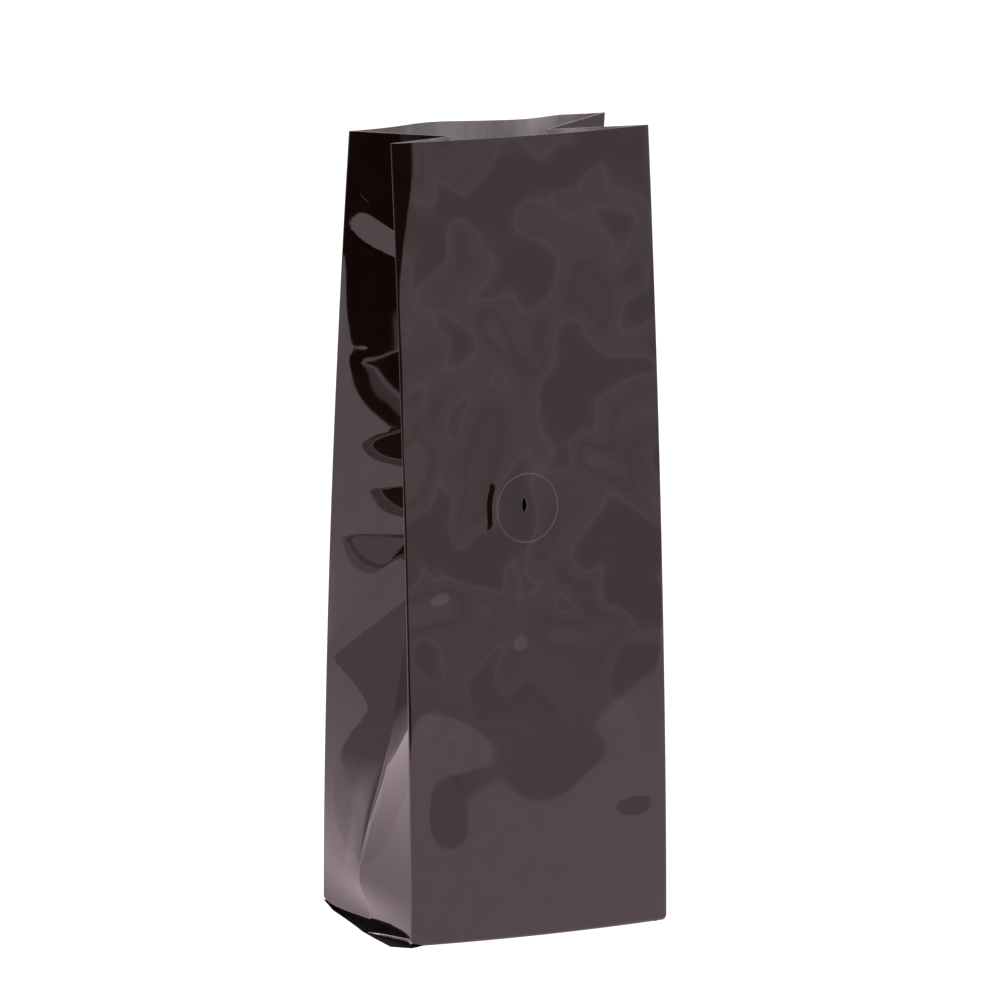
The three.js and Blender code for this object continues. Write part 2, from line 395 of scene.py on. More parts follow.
@dataclass(frozen=True)
class GrainedFinish:
    """A finish of two close tones in a fine grain, flat or raised."""

    name: str
    base: str
    second: str
    roughness: float
    grain_mm: float
    ior: float = 1.5
    specular: float = 0.5
    grain_strength: float = 0.0
    grain_depth_mm: float = 0.05

    def material(self) -> Material:
        """Build the finish.

        Returns:
            The material.
        """
        material, tree = new_material(self.name)
        grain = noise(tree, object_place(tree), self.grain_mm)
        inputs = {
            "Base Color": blend(tree, grain, linear(self.base), linear(self.second)),
            "Roughness": self.roughness, "IOR": self.ior, "Specular IOR Level": self.specular}
        if self.grain_strength:
            bump = add_node(tree, "ShaderNodeBump", {
                "Height": grain, "Strength": self.grain_strength, "Distance": self.grain_depth_mm * MM})
            inputs["Normal"] = bump.outputs["Normal"]
        surface(tree, inputs)
        return material


# Film crushed flat by the sealing jaws, its gloss broken; its near-black, almost unreflecting finish is also
# painted shade, for the dark round the foot's ears
SEALED_FILM_AND_SHADE = GrainedFinish("sealed_film_and_painted_shade", "060505", "0d0a09", 0.5, 1.2, specular=0.05)

# The cut edge of the laminate, where the milky polyethylene layer shows as a thin light line
CUT_FILM_EDGE = GrainedFinish("cut_film_edge", "cfc8c4", "a49c98", 0.35, 0.7)

# Moulded dark polyethylene with the fine grain of its mould
VALVE_PLASTIC = GrainedFinish(
    "moulded_valve_polyethylene", "17130f", "241e1a", 0.42, 0.5, ior=1.51, grain_strength=0.15)


@dataclass(frozen=True)
class BagShape:
    """Form of the standing bag.

    Places round it are lengths along the film from the front panel's left edge.
    """

    width: float = 100.0
    gusset: float = 70.0
    height: float = 280.0
    mouth_half_depth: float = 16.5
    taper_power: float = 1.77
    mouth_lean: float = 3.3
    lean_power: float = 1.9
    gusset_half: float = 35.03
    crease_bulge: float = 6.7
    crease_bulge_heights: tuple[float, float, float] = (2.0, 20.0, 80.0)
    crease_drop: float = 1.8
    front_bow: float = 3.5
    back_foot_bow: float = 2.0
    back_waves: tuple[tuple[float, float, float], ...] = ((-15, 15, 6.5), (18, 9, -1.5), (34, 8, 2.2))
    back_wave_power: float = 3.0
    back_edge_power: int = 8
    front_fold_height: float = 2.2
    back_fold_height: float = 5.0
    side_fold_height: float = 3.0
    side_front_rise: float = 2.6
    corner_power: float = 10.0
    fold_run: float = 1.25
    back_slope_height: float = 3.6
    side_slope_height: float = 2.0
    seam_y: float = -2.0
    back_flat_share: float = 0.714
    fold_round: float = 0.32

    @property
    def round_length(self) -> float:
        """Length of film once round the bag."""
        return 2 * (self.width + self.gusset)

    @property
    def half(self) -> float:
        """Half the depth of the foot, which is one half of a gusset."""
        return self.gusset / 2

    def half_depth(self, z: Array) -> Array:
        """Half the depth between the panels' edges at a height."""
        share = np.clip(z, 0, None) / self.height
        return self.half - (self.half - self.mouth_half_depth) * share ** self.taper_power

    def centre(self, z: Array) -> Array:
        """Y of the middle of the depth at a height."""
        return -self.mouth_lean * (np.clip(z, 0, None) / self.height) ** self.lean_power

    def crease_inset(self, z: Array) -> Array:
        """How far a gusset's crease lies inside the panels' edges.

        Args:
            z: Heights.

        Returns:
            Lengths in millimetres.
        """
        start, peak, end = self.crease_bulge_heights
        folded = np.sqrt(self.gusset_half ** 2 - self.half_depth(z) ** 2)
        return folded - self.crease_bulge * smooth(start, peak, z) * (1 - smooth(peak, end, z))

    def station(self, place: Array) -> tuple[Array, Array]:
        """Turn a place round the bag into its two shares.

        Args:
            place: Lengths along the film, of any number of rounds.

        Returns:
            The share across the width and the share of the depth, each from -1 to 1.
        """
        at = np.mod(place, self.round_length)
        stops = np.cumsum([0, self.width, self.gusset, self.width, self.gusset])
        return np.interp(at, stops, [-1, 1, 1, -1, -1]), np.interp(at, stops, [-1, -1, 1, 1, -1])

    def side_middle(self, depth: Array) -> Array:
        """Height of a side's fold between its corners, which rises towards the front."""
        return self.side_fold_height + self.side_front_rise * np.clip(-depth, 0, None)

    def side_height(self, depth: Array, front: Array, back: Array, middle: Array) -> Array:
        """Height along the foot's edge: panel values at the corners, and the side's soon after them."""
        corner = np.where(depth < 0, front, back)
        return corner + (middle - corner) * (1 - np.abs(depth) ** self.corner_power)

    def panel_bow(self, across: Array, depth: Array, x: Array, z: Array) -> Array:
        """How far the front and back panels stand out of the flat between their edges.

        Args:
            across: Shares across the width.
            depth: Shares of the depth.
            x: Places across the bag.
            z: Heights.

        Returns:
            Changes of Y in millimetres.
        """
        span = 1 - across ** 2
        front = -self.front_bow * span * (2 * z / self.height - 1) ** 2
        waves = sum(out * np.exp(-((x - at) / spread) ** 2) for at, spread, out in self.back_waves)
        back = waves * (1 - across ** self.back_edge_power) * (z / self.height) ** self.back_wave_power
        back = back + self.back_foot_bow * span * (1 - z / self.height) ** 2
        return np.where(depth <= -1, front, np.where(depth >= 1, back, 0.0))

    def wall(self, place: Array, share: Array) -> Array:
        """Points of the walls.

        Args:
            place: Lengths along the film.
            share: Shares of the height above the fold of the foot.

        Returns:
            Points in millimetres, with the coordinates last.
        """
        across, depth = self.station(place)
        crease = 1 - np.abs(depth)
        middle = self.side_middle(depth)
        foot = self.side_height(depth, self.front_fold_height, self.back_fold_height, middle)
        z = foot + (self.height - foot) * share - self.crease_drop * crease * share ** 2
        x = across * (self.width / 2 - crease * self.crease_inset(z))
        y = self.centre(z) + depth * self.half_depth(z) + self.panel_bow(across, depth, x, z)
        return np.stack([x, y, z], axis=-1)

    def foot(self, place: Array, share: Array) -> Array:
        """Points of the folded foot.

        Args:
            place: Lengths along the film.
            share: Shares of the way in from the fold, where below 0 is on the fold's round (-1 to 0).

        Returns:
            Points in millimetres, with the coordinates last.
        """
        across, depth = self.station(place)
        crease = 1 - np.abs(depth)
        turn = np.clip(share + 1, 0, 1) * math.pi / 2
        inner = np.clip(share, 0, 1)
        run = self.fold_run * (1 - np.cos(turn))
        inward = run + (self.half - self.fold_run) * inner
        part = inward / self.half
        inset = crease * self.crease_inset(np.asarray(self.side_fold_height)) * (1 - part)
        x = across * (self.width / 2 - inward - inset)
        bow = np.where(depth < 0, self.front_bow, self.back_foot_bow) * (1 - across ** 2) * (1 - part) ** 2
        y = depth * (self.half - inward + bow) + self.seam_y * part
        fall = 1 - np.sin(turn)
        flat = self.back_flat_share
        slope = np.clip((flat - part) / (flat - self.fold_run / self.half), 0, 1)
        front = self.front_fold_height * fall
        back = (self.back_fold_height - self.back_slope_height) * fall + self.back_slope_height * slope
        side = (self.side_middle(depth) - self.side_slope_height) * fall
        side = side + self.side_slope_height * (1 - inner)
        z = self.side_height(depth, front, back, side)
        return np.stack([x, y, z], axis=-1)


def spread_steps(start: float, end: float, stretches: list[tuple[float, float, float]]) -> Array:
    """Place steps between two ends, with a step length for each stretch.

    Args:
        start: First place.
        end: Last place.
        stretches: Stretches as (from, to, step). Where some overlap, the shortest step holds.

    Returns:
        Rising places from start to end.
    """
    probe = np.linspace(start, end, STEP_PROBES)
    step = np.full(probe.shape, np.inf)
    for low, high, size in stretches:
        step = np.where((probe >= low) & (probe <= high), np.minimum(step, size), step)
    count = np.concatenate([[0], np.cumsum(np.diff(probe) / step[1:])])
    total = int(math.ceil(count[-1]))
    return np.interp(np.linspace(0, count[-1], total + 1), count, probe)


def from_middle(z: Array, middle: float, half_fall: float, half_rise: float) -> Array:
    """How far heights lie from a middle, in half sizes."""
    return (z - middle) / np.where(z < middle, half_fall, half_rise)


@dataclass(frozen=True)
class Dent:
    """A soft hollow in the film: its middle, its half sizes along, down and up the film, and its depth."""

    place: float
    z: float
    half_run: float
    half_fall: float
    half_rise: float
    depth: float

    def lift(self, place: Array, z: Array) -> Array:
        """How far the film stands out because of the dent."""
        run = (place - self.place) / self.half_run
        return -self.depth * np.exp(-run ** 2 - from_middle(z, self.z, self.half_fall, self.half_rise) ** 2)


@dataclass(frozen=True)
class Cushion:
    """A bowed swelling of the film: foot, crest and edge along the film, its height range and its rise."""

    foot: float
    crest: float
    edge: float
    z: float
    half_fall: float
    half_rise: float
    rise: float

    def lift(self, place: Array, z: Array) -> Array:
        """How far the film stands out because of the swelling.

        Args:
            place: Lengths along the film.
            z: Heights.

        Returns:
            Lengths in millimetres.
        """
        side = np.where(place < self.crest, self.foot - self.crest, self.edge - self.crest)
        bow = np.clip(1 - ((place - self.crest) / side) ** 2, 0, None)
        return self.rise * bow * np.exp(-from_middle(z, self.z, self.half_fall, self.half_rise) ** 2)


@dataclass(frozen=True)
class Scallop:
    """A round swelling below a sharp valley in the film, which grows along the film from its start.

    Its top and bottom are lines, each given as its height at the start and its slope.
    """

    start: float
    full: float
    top: Range
    bottom: Range
    rise: float

    def lift(self, place: Array, z: Array) -> Array:
        """How far the film stands out because of the swelling.

        Args:
            place: Lengths along the film.
            z: Heights.

        Returns:
            Lengths in millimetres.
        """
        run = place - self.start
        top, bottom = self.top[0] + self.top[1] * run, self.bottom[0] + self.bottom[1] * run
        share = np.clip((top - z) / np.maximum(top - bottom, 1.0), 0, 1)
        return self.rise * 4 * share * (1 - share) * smooth(self.start, self.full, place)


@dataclass(frozen=True)
class Gore:
    """A nearly flat three-cornered face that sinks from its lower edge up to a valley at its upper edge."""

    tip: Range
    upper: Range
    lower: Range
    slope: float
    fall: float
    flatten: float

    def above(self, end: Range, place: Array, z: Array) -> Array:
        """How far points lie above the line from the tip to an end."""
        run, rise = end[0] - self.tip[0], end[1] - self.tip[1]
        return ((z - self.tip[1]) * run - (place - self.tip[0]) * rise) / math.hypot(run, rise)

    def lift(self, place: Array, z: Array) -> Array:
        """How far the film stands out because of the face.

        Args:
            place: Lengths along the film.
            z: Heights.

        Returns:
            Lengths in millimetres.
        """
        face = self.slope * self.above(self.lower, place, z)
        beyond = face - (self.slope + self.fall) * self.above(self.upper, place, z)
        along = np.clip((place - self.tip[0]) / (self.upper[0] - self.tip[0]), 0, 1)
        return -np.clip(np.minimum(face, beyond), 0.0, None) * (1 - self.flatten * along)


@dataclass(frozen=True)
class Ripple:
    """Slow waves of the film in all directions: seed, usual slope, lengths and the heights they begin in."""

    seed: int
    slope: float
    lengths: Range
    begin: Range = (-2.0, -1.0)
    count: int = 14

    def lift(self, place: Array, z: Array) -> Array:
        """How far the film stands out because of the waves.

        Args:
            place: Lengths along the film.
            z: Heights.

        Returns:
            Lengths in millimetres.
        """
        rng = np.random.default_rng(self.seed)
        total = np.zeros(place.shape)
        for _ in range(self.count):
            length = rng.uniform(*self.lengths)
            angle, phase = rng.uniform(0, math.pi), rng.uniform(0, 2 * math.pi)
            wave = np.sin(2 * math.pi * (place * math.cos(angle) + z * math.sin(angle)) / length + phase)
            total += length / (2 * math.pi) * wave
        return self.slope * math.sqrt(2 / self.count) * total * smooth(*self.begin, z)


Form = Dent | Cushion | Scallop | Gore | Ripple


@dataclass(frozen=True)
class PanelRelief:
    """The forms of one stretch of the film, which fade out before both of its ends."""

    start: float
    end: float
    start_fade: float
    end_fade: float
    forms: tuple[Form, ...]

    def lift(self, place: Array, z: Array) -> Array:
        """How far the film stands out because of all the forms."""
        fade = smooth(0, self.start_fade, place - self.start) * smooth(0, self.end_fade, self.end - place)
        return fade * sum(form.lift(place, z) for form in self.forms)


@dataclass(frozen=True)
class ValveSeat:
    """The round of film over the valve, turned a little with the disc behind it, with its slit."""

    place: float = 47.6
    z: float = 150.5
    turn_deg: float = 1.0
    radius: float = 12.0
    turn_reach: float = 40.0
    bead: float = 0.03
    bead_width: float = 0.3
    groove: float = 0.006
    groove_radius: float = 13.6
    groove_width: float = 0.5
    swirl_slope: float = 0.024
    swirl_lengths: Range = (2.3, 3.7)
    swirl_sway: Range = (0.9, 0.8)
    swirl_bend: Range = (0.45, 0.5)
    swirl_phase: float = 1.0
    swirl_end: Range = (0.75, 0.97)
    step: float = 0.55
    step_place: float = 13.4
    step_width: float = 2.8
    step_turn_deg: float = 1.0
    step_rise: float = 1.3
    step_steep: float = 6.0
    step_end: float = 60.0
    step_spread: float = 0.8
    step_side: float = 12.0
    step_squash: Range = (0.95, 0.45)
    slit_height: float = 4.8
    slit_width: float = 1.8
    slit_offset: Range = (-1.05, 1.0)
    # Strength and width of the painted highlight, a light line painted round the disc's rim
    worn_rim: float = 0.45
    worn_width: float = 0.17

    def lift(self, place: Array, z: Array) -> Array:
        """How far the front panel stands out around the valve.

        Args:
            place: Lengths along the film.
            z: Heights.

        Returns:
            Lengths in millimetres.
        """
        run, rise = place - self.place, z - self.z
        reach = np.hypot(run, rise)
        fall = 1 - smooth(self.radius, self.turn_reach, reach)
        lift = -math.tan(math.radians(self.turn_deg)) * run * fall / np.maximum(reach / self.radius, 1.0)
        lift -= self.groove * np.exp(-((reach - self.groove_radius) / self.groove_width) ** 2)
        lift += self.bead * np.exp(-((reach - self.radius) / self.bead_width) ** 2)
        lift += self.swirl(run, rise) * (1 - smooth(*self.swirl_end, reach / self.radius))
        return lift + self.left_step(run, rise)

    def swirl(self, run: Array, rise: Array) -> Array:
        """The faint uneven rings in the film where it lies on the disc.

        Args:
            run: Lengths to the right of the valve's middle.
            rise: Heights above the valve's middle.

        Returns:
            Lengths in millimetres.
        """
        sway = self.swirl_sway[0] * np.sin(self.swirl_bend[0] * rise + self.swirl_phase)
        heave = self.swirl_sway[1] * np.sin(self.swirl_bend[1] * run)
        ring = np.hypot(run + sway, rise + heave)
        return sum(self.swirl_slope * length / math.tau * np.sin(math.tau * ring / length)
                   for length in self.swirl_lengths)

    def left_step(self, run: Array, rise: Array) -> Array:
        """The film's step down at the left of the disc, steep beside it and soft above and below it.

        Args:
            run: Lengths to the right of the valve's middle.
            rise: Heights above the valve's middle.

        Returns:
            Lengths in millimetres.
        """
        turn = math.radians(self.step_turn_deg)
        left = rise * math.sin(turn) - run * math.cos(turn)
        up = rise * math.cos(turn) + run * math.sin(turn) - self.step_rise
        width = self.step_width + self.step_spread * np.clip(np.abs(up) - self.step_steep, 0, None)
        past = (np.hypot(left, np.where(up > 0, *self.step_squash) * up) - self.step_place) / width
        height = self.step * smooth(-self.step_side, self.step_side, left)
        height = height * (1 - smooth(self.step_steep, self.step_end, np.abs(up)))
        return height * (1 - smooth(0.0, 1.0, past))

    def worn(self, place: Array, z: Array) -> Array:
        """How much painted highlight, a thin light line, the film gets at the disc's rim."""
        reach = np.hypot(place - self.place, z - self.z)
        return self.worn_rim * np.exp(-((reach - self.radius) / self.worn_width) ** 2)


@dataclass(frozen=True)
class PanelEdges:
    """The front panel's two rounded edges, which turn in further towards the mouth."""

    width: float = 100.0
    reach: float = 2.1
    mouth_reach: float = 6.5
    heights: Range = (225.0, 272.0)
    radius: float = 8.0
    mouth_radius: float = 14.0

    def lift(self, place: Array, z: Array) -> Array:
        """How far the panel stands out in front of its edges.

        Args:
            place: Lengths along the film.
            z: Heights.

        Returns:
            Lengths in millimetres.
        """
        upper = smooth(*self.heights, z)
        reach = self.reach + (self.mouth_reach - self.reach) * upper
        radius = self.radius + (self.mouth_radius - self.radius) * upper
        left = np.clip(reach - place, 0, None)
        right = np.clip(reach - (self.width - place), 0, None)
        return np.where(place < self.width, (reach ** 2 - left ** 2 - right ** 2) / (2 * radius), 0.0)


@dataclass
class FilmBag:
    """The film: a flat web folded into the bag, with its dents, its lap seam and its thickness.

    Places across the web are lengths along the film. Up the web, -2 to -1 is the floor of the foot, -1 to 0
    is its fold and 0 to 1 is the walls.
    """

    shape: BagShape = field(default_factory=BagShape)
    seat: ValveSeat = field(default_factory=ValveSeat)
    edges: PanelEdges = field(default_factory=PanelEdges)
    reliefs: tuple[PanelRelief, ...] = ()
    thickness: float = 0.25
    lap_inner_x: float = 33.0
    lap_outer_x: float = 42.0
    lap_gap: float = 0.35
    lap_ease: Range = (4.0, 0.5)
    # Strength and width of the painted highlight, a light line painted along each fold
    worn_fold: float = 0.5
    worn_fold_width: float = 0.28
    crease_fade: float = 2.5
    relief_rise: Range = (-0.001, 0.02)
    lap_rise: Range = (0.0, 0.03)
    column_steps: tuple[float, ...] = (4.2, 1.3, 1.1, 1.8, 3.6, 4.2)
    fold_steps: tuple[float, ...] = (0.2, 0.2, 0.2, 0.3, 0.3, 0.3)
    fold_reach: float = 0.9
    fold_samples: int = 7
    valve_step: float = 1.1
    valve_reach: float = 17.0
    row_step: float = 1.85
    foot_step: float = 0.8
    foot_reach: float = 4.2
    floor_rows: int = 11
    fold_rows: int = 6
    disc_margin: float = 2.2
    rim_margins: Range = (1.3, 1.0)
    step_reach: float = 17.5
    step_left: float = -10.0
    disc_cuts: int = 1
    rim_cuts: int = 4
    slope_run: float = 0.1
    slope_rise: float = 0.002
    slit_sides: int = 32
    slit_cutter: float = 12.0
    weld: float = 0.05

    @property
    def folds(self) -> list[float]:
        """Places of the six long folds, from the back panel's left edge on round."""
        half, width = self.shape.half, self.shape.width
        first = width + self.shape.gusset + width
        return [first + step for step in np.cumsum([0, half, half, width, half, half])]

    def web_columns(self) -> Array:
        """Place the web's columns, from the outer edge of the lap to its inner edge.

        Returns:
            Rising places across the web.
        """
        around, folds = self.shape.round_length, self.folds
        half_width = self.shape.width / 2
        start = folds[5] - around + half_width - self.lap_outer_x
        end = folds[5] + half_width - self.lap_inner_x
        valve = around + self.seat.place
        ends = [start, *folds[:4], folds[5], end]
        stretches = list(zip(ends, ends[1:], self.column_steps))
        stretches.append((valve - self.valve_reach, valve + self.valve_reach, self.valve_step))
        for fold, step in zip(folds, self.fold_steps):
            stretches.append((fold - self.fold_reach, fold + self.fold_reach, step))
        return spread_steps(start, end, stretches)

    def web_rows(self) -> Array:
        """Place the web's rows, from the foot's seam to the mouth.

        Returns:
            Rising heights up the web.
        """
        height = self.shape.height
        valve = (self.seat.z - self.valve_reach, self.seat.z + self.valve_reach, self.valve_step)
        stretches = [(0.0, height, self.row_step), valve, (0.0, self.foot_reach, self.foot_step)]
        walls = spread_steps(0.0, 1.0, [tuple(size / height for size in stretch) for stretch in stretches])
        floor = np.linspace(-2, -1, self.floor_rows, endpoint=False)
        return np.concatenate([floor, np.linspace(-1, 0, self.fold_rows, endpoint=False), walls])

    def plain(self, across: Array, up: Array) -> Array:
        """Fold the web without its dents, with its folds rounded by a mean over a short length.

        Args:
            across: Places across the web.
            up: Heights up the web.

        Returns:
            Points in millimetres, with the coordinates last.
        """
        shape = self.shape
        spans = np.linspace(-shape.fold_round, shape.fold_round, self.fold_samples)
        walls = np.mean([shape.wall(across + span, np.clip(up, 0, None)) for span in spans], axis=0)
        foot = np.mean([shape.foot(across + span, -1 - np.clip(up, None, 0)) for span in spans], axis=0)
        return np.where(up[..., None] >= 0, walls, foot)

    def normals(self, across: Array, up: Array) -> Array:
        """Find the outward direction of the folded web without its dents.

        Args:
            across: Places across the web.
            up: Heights up the web.

        Returns:
            Directions of length 1, with the coordinates last.
        """
        run = self.plain(across + self.slope_run, up) - self.plain(across - self.slope_run, up)
        over, under = np.clip(up + self.slope_rise, -2, 1), np.clip(up - self.slope_rise, -2, 1)
        normal = np.cross(run, self.plain(across, over) - self.plain(across, under))
        return normal / np.maximum(np.linalg.norm(normal, axis=-1, keepdims=True), 1e-9)

    def folded(self, across: Array, up: Array) -> tuple[Array, Array]:
        """Fold the web.

        Args:
            across: Places across the web.
            up: Heights up the web.

        Returns:
            Points of the outer skin in millimetres, and how much painted highlight the film gets there.
        """
        skin = self.plain(across, up)
        at = np.mod(across, self.shape.round_length)
        on_front = at < self.shape.width
        z = skin[..., 2]
        lift = self.edges.lift(at, z) + np.where(on_front, self.seat.lift(at, z), 0.0)
        lift += sum(relief.lift(at, z) for relief in self.reliefs)
        from_crease = np.min([np.abs(across - self.folds[k]) for k in (1, 4)], axis=0)
        lift = np.minimum(lift, lift * smooth(0.0, self.crease_fade, from_crease))
        lift = lift * smooth(*self.relief_rise, up) + self.lap_lift(across) * smooth(*self.lap_rise, up)
        # Painted highlight: a thin light line along each fold and round the valve's rim
        nearest = np.min([np.abs(across - fold) for fold in self.folds], axis=0)
        worn = self.worn_fold * np.exp(-(nearest / self.worn_fold_width) ** 2)
        worn = np.maximum(worn, np.where(on_front, self.seat.worn(at, z), 0.0))
        return skin + lift[..., None] * self.normals(across, up), worn * (up > 0)

    def lap_lift(self, across: Array) -> Array:
        """How far the inner layer of the lap seam, at the end of the web, lies inside the outer one."""
        start = self.folds[5] + self.shape.width / 2 - self.lap_outer_x
        return -self.lap_gap * smooth(start - self.lap_ease[0], start - self.lap_ease[1], across)

    def flat_web(self) -> Piece:
        """Make the flat web as a grid, finer where the valve's rim presses through it.

        Returns:
            The flat piece.
        """
        columns, rows = self.web_columns(), self.web_rows()
        bpy.ops.mesh.primitive_grid_add(
            x_subdivisions=len(columns) - 1, y_subdivisions=len(rows) - 1, size=2.0)
        piece = bpy.context.object
        flat = read_points(piece)
        across = columns[grid_line(flat[:, 0], len(columns))]
        up = rows[grid_line(flat[:, 1], len(rows))]
        write_points(piece, np.stack([across, up, np.zeros(len(flat))], axis=1))
        self.refine_rim(piece)
        return piece

    def refine_rim(self, piece: Piece) -> None:
        """Subdivide the web over the valve, and further at the valve's rim and at the step beside it.

        Args:
            piece: The flat web.
        """
        seat = self.seat
        run, rise = self.seat_offsets(piece)
        self.subdivide(piece, np.hypot(run, rise) < seat.radius - self.disc_margin, self.disc_cuts)
        run, rise = self.seat_offsets(piece)
        reach = np.hypot(run, rise)
        inner, outer = self.rim_margins
        rim = (reach > seat.radius - inner) & (reach < seat.groove_radius + outer)
        step = (reach > seat.radius) & (reach < self.step_reach) & (run < self.step_left)
        self.subdivide(piece, rim | step, self.rim_cuts)

    def seat_offsets(self, piece: Piece) -> tuple[Array, Array]:
        """Find how far the flat web's faces lie from the valve's middle.

        Args:
            piece: The flat web.

        Returns:
            Lengths to the right of it and above it.
        """
        middle = np.array([face.center for face in piece.data.polygons])
        fold = self.shape.front_fold_height
        run = middle[:, 0] - self.shape.round_length - self.seat.place
        rise = fold + (self.shape.height - fold) * middle[:, 1] - self.seat.z
        return run, rise

    def subdivide(self, piece: Piece, chosen: Array, cuts: int) -> None:
        """Subdivide the chosen faces of a piece.

        Args:
            piece: The piece to change.
            chosen: Whether each face is subdivided.
            cuts: Cuts across each face.
        """
        edit_chosen(piece, Choice.PATCH, chosen)
        bpy.ops.mesh.subdivide(number_cuts=cuts, quadcorner="INNERVERT")
        bpy.ops.object.mode_set(mode="OBJECT")

    def build(self, finishes: list[Material]) -> Piece:
        """Make the film's mesh.

        Args:
            finishes: Materials of the outside, the inside and the cut edge.

        Returns:
            The finished piece, at the origin.
        """
        piece = self.flat_web()
        piece.name = piece.data.name = "bag_film_web"
        flat = read_points(piece)
        skin, worn = self.folded(flat[:, 0], flat[:, 1])
        write_points(piece, skin * MM)
        # Store where the painted highlight goes
        piece.data.attributes.new(PAINTED_HIGHLIGHT, "FLOAT", "POINT").data.foreach_set("value", worn)
        self.close_corners(piece, flat)
        for finish in finishes:
            piece.data.materials.append(finish)
        apply_modifier(piece, "film thickness", "SOLIDIFY", thickness=self.thickness * MM, offset=-1.0,
                       use_even_offset=True, thickness_clamp=0.0,
                       material_offset=FilmSide.INSIDE.value, material_offset_rim=FilmSide.CUT_EDGE.value)
        self.cut_slit(piece)
        shade_smooth(piece)
        return piece

    def close_corners(self, piece: Piece, flat: Array) -> None:
        """Weld each gusset's lower edge into the one point where it ends, at the seam under the foot.

        Args:
            piece: The folded web.
            flat: The web's points while it was flat.
        """
        depth = self.shape.station(flat[:, 0])[1]
        at_end = (flat[:, 1] < -1.99) & (np.abs(depth) < 0.999)
        edit_chosen(piece, Choice.POINTS, at_end)
        bpy.ops.mesh.remove_doubles(threshold=self.weld * MM)
        bpy.ops.object.mode_set(mode="OBJECT")

    def cut_slit(self, piece: Piece) -> None:
        """Cut the lens-shaped slit over the valve.

        Args:
            piece: The film with its thickness.
        """
        x = self.seat.place - self.shape.width / 2 + self.seat.slit_offset[0]
        z = self.seat.z + self.seat.slit_offset[1]
        y = -float(self.shape.half_depth(np.array(z)))
        bpy.ops.mesh.primitive_cylinder_add(
            vertices=self.slit_sides, radius=MM, depth=self.slit_cutter * MM,
            location=(x * MM, y * MM, z * MM), rotation=(math.pi / 2, 0, 0))
        cutter = bpy.context.object
        cutter.scale = (self.seat.slit_width / 2, self.seat.slit_height / 2, 1.0)
        bpy.ops.object.transform_apply(location=True, rotation=True, scale=True)
        cutter.data.materials.append(piece.data.materials[FilmSide.CUT_EDGE.value])
        apply_modifier(piece, "slit", "BOOLEAN", object=cutter, operation="DIFFERENCE", solver="MANIFOLD")
        bpy.data.objects.remove(cutter)


@dataclass(frozen=True)
class ValveDisc:
    """The one-way valve behind the front panel: a round flange with a well in front and a cup behind."""

    radius: float = 11.4
    flange: float = 1.0
    well_radius: float = 5.0
    well_depth: float = 2.7
    cup_radius: float = 7.5
    cup_depth: float = 3.5
    rounding: float = 0.22
    behind_panel: float = 1.0
    turn_deg: float = 6.5
    sides: int = 72
    edge_angle_deg: float = 40.0

    def build(self, seat: ValveSeat, shape: BagShape, finish: Material) -> Piece:
        """Make the disc.

        Args:
            seat: The place of the film that the disc lies behind.
            shape: The bag's form, for the place of its front panel.
            finish: Material of the disc.

        Returns:
            The finished piece, at the origin.
        """
        bpy.ops.object.select_all(action="DESELECT")
        bpy.ops.mesh.primitive_cylinder_add(
            vertices=self.sides, radius=self.radius * MM, depth=self.flange * MM)
        piece = bpy.context.object
        piece.name = piece.data.name = "valve_disc"
        self.step_face(piece, 1, self.well_radius, -self.well_depth)
        self.step_face(piece, -1, self.cup_radius, self.cup_depth)
        apply_modifier(piece, "moulded edges", "BEVEL", width=self.rounding * MM, segments=3,
                       limit_method="ANGLE", angle_limit=math.radians(self.edge_angle_deg))
        piece.data.materials.append(finish)
        turn, z = math.radians(self.turn_deg), np.array(seat.z)
        back = self.behind_panel + self.flange / 2
        x = seat.place - shape.width / 2 - back * math.sin(turn)
        y = float(shape.centre(z) - shape.half_depth(z)) + back * math.cos(turn)
        piece.rotation_euler = (math.pi / 2, 0.0, turn)
        piece.location = (x * MM, y * MM, seat.z * MM)
        select_only(piece)
        bpy.ops.object.transform_apply(location=True, rotation=True, scale=True)
        shade_smooth(piece)
        return piece

    def step_face(self, piece: Piece, side: int, radius: float, out: float) -> None:
        """Inset a round end face and push it out or in.

        Args:
            piece: The disc.
            side: 1 for the front face, -1 for the back one.
            radius: Radius of the inset face.
            out: How far it is pushed out, or in where it is below 0.
        """
        chosen = np.array([face.normal.z * side > 0.9 for face in piece.data.polygons])
        edit_chosen(piece, Choice.FACES, chosen)
        bpy.ops.mesh.inset(thickness=(self.radius - radius) * MM)
        bpy.ops.mesh.extrude_region_move(TRANSFORM_OT_translate={"value": (0.0, 0.0, side * out * MM)})
        bpy.ops.object.mode_set(mode="OBJECT")


@dataclass(frozen=True)
class EarSheet:
    """A layer of film in a corner ear of the foot, between an outer and an inner edge of as many corners."""

    name: str
    outer: tuple[Corner, ...]
    inner: tuple[Corner, ...]
    face: FilmSide = FilmSide.OUTSIDE


